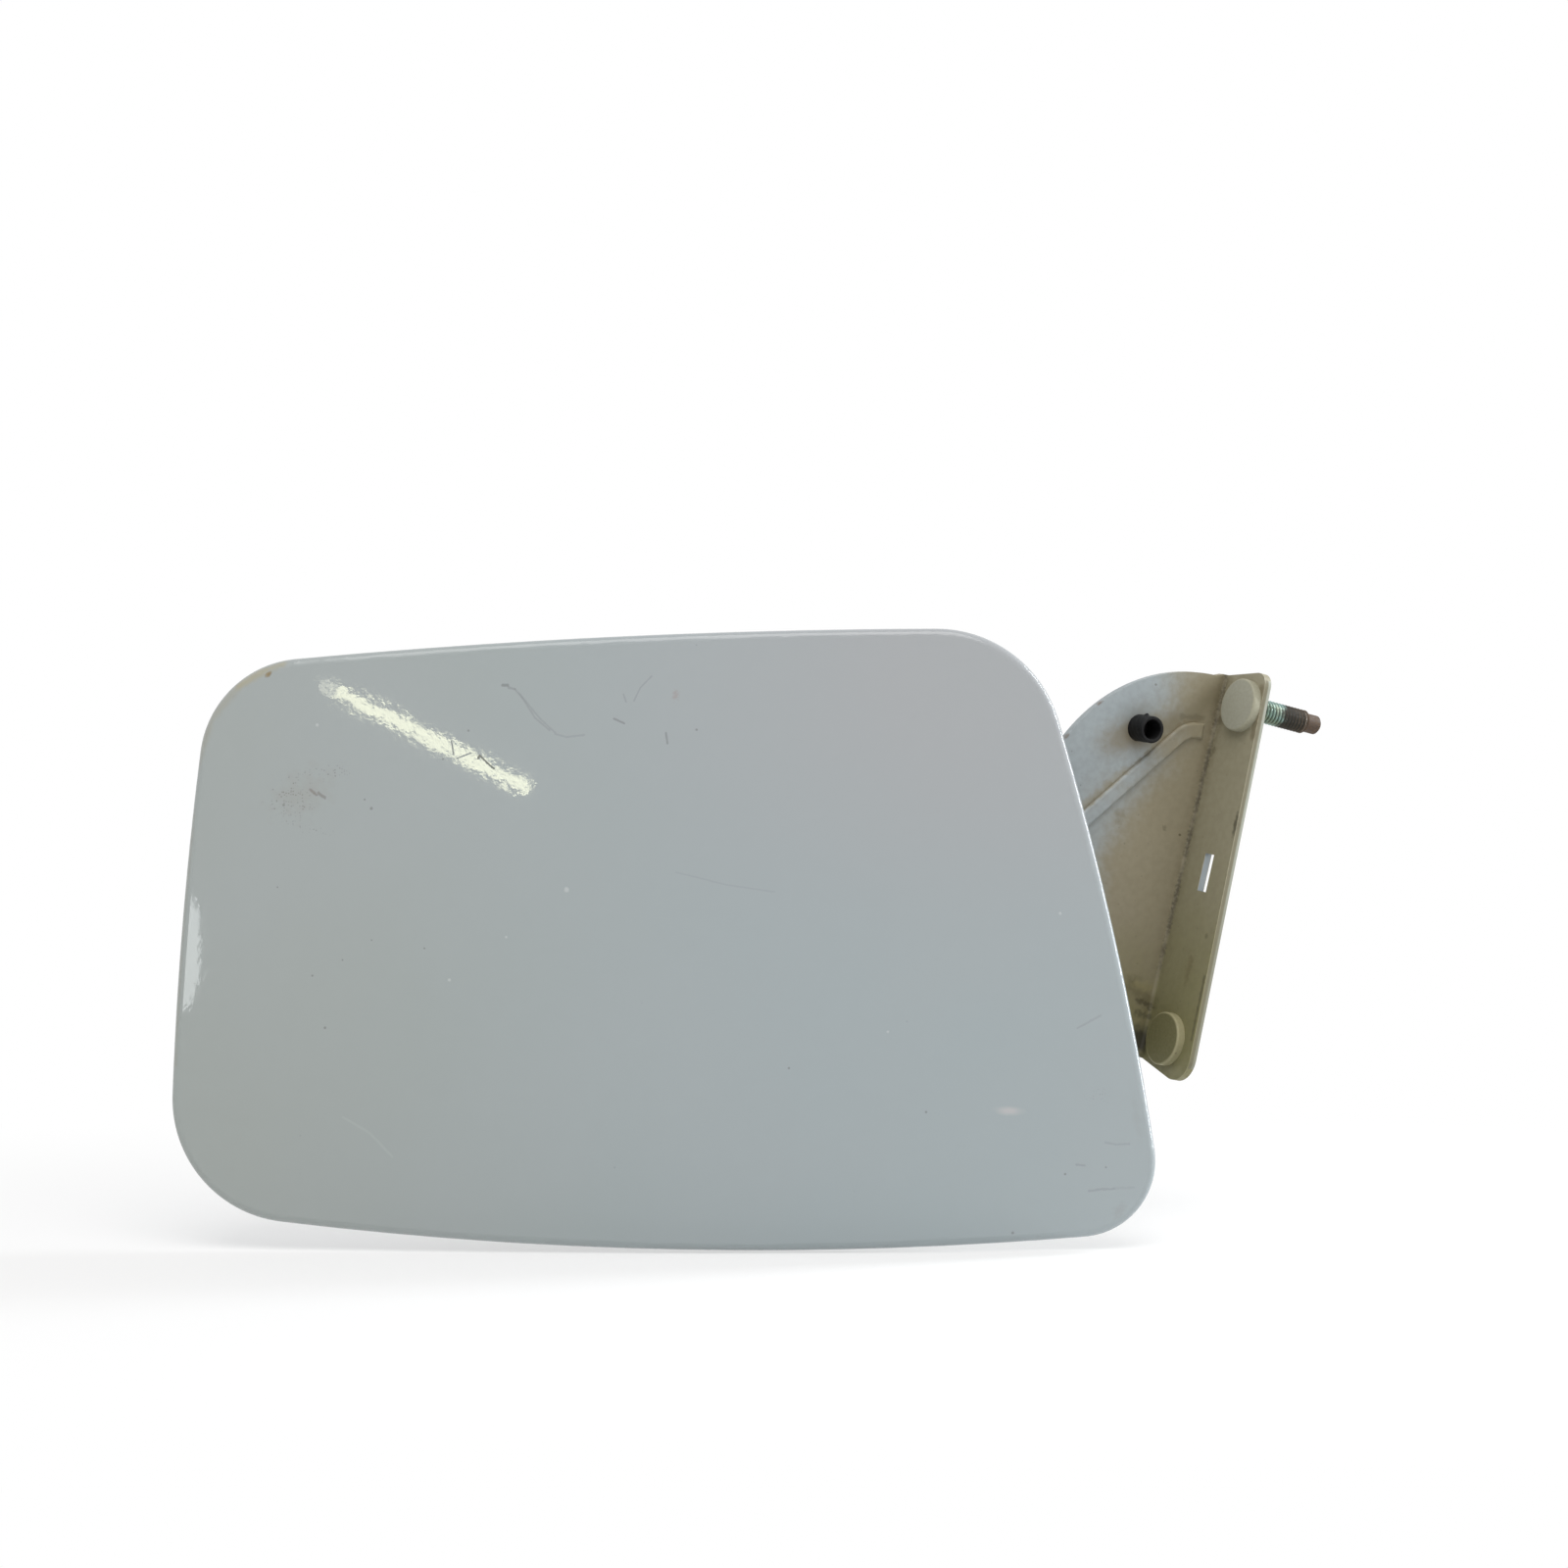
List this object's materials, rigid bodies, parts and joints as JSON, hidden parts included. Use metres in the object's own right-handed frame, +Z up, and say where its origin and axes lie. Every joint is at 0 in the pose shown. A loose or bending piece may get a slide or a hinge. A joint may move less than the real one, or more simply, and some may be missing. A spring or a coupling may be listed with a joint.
{
  "type": "car fuel door with hinge bracket",
  "caption": "Crowned, hemmed sheet-steel fuel door that swings on a pin behind its edge, on a bent bracket with a press-in mounting stud and a hollow rubber stop.",
  "frame": {"origin": "on the upper stud's axis, on the flange face that seats on the car", "axes": "+X across the door to its hinge side, +Y into the car, +Z up, with the outer face towards -Y"},
  "size_m": [0.2819, 0.0544, 0.1469],
  "materials": {
    "body_paint": "gloss white car paint, seen as a pale blue-grey, with scuffs",
    "inner_paint": "satin white car paint, thin",
    "bracket_paint": "aged white paint, yellowed and dirty",
    "stud_zinc": "zinc plate, dirty thread and rusty end",
    "pin_steel": "dull steel",
    "black_rubber": "dull black rubber",
    "bush_nylon": "natural nylon"
  },
  "bodies": {
    "base": {"base_bracket": "bracket_paint", "upper_stud": "stud_zinc", "lower_stud": "stud_zinc", "stop_buffer": "black_rubber", "hinge_pin": "pin_steel", "pin_clip": "pin_steel"},
    "door": {"outer_skin": "body_paint", "inner_panel": "inner_paint", "hinge_leaf": "inner_paint", "latch_striker": "inner_paint", "striker_rivets": "pin_steel", "upper_rest_buffer": "black_rubber", "lower_rest_buffer": "black_rubber", "upper_bush": "bush_nylon", "lower_bush": "bush_nylon"}
  },
  "joints": [
    {"name": "door_hinge", "type": "hinge", "parent": "base", "child": "door", "pos_m": [-0.03954, -0.0139, -0.06061], "axis": [-0.2222, 0, 0.975], "range_deg": [0, 90]}
  ]
}
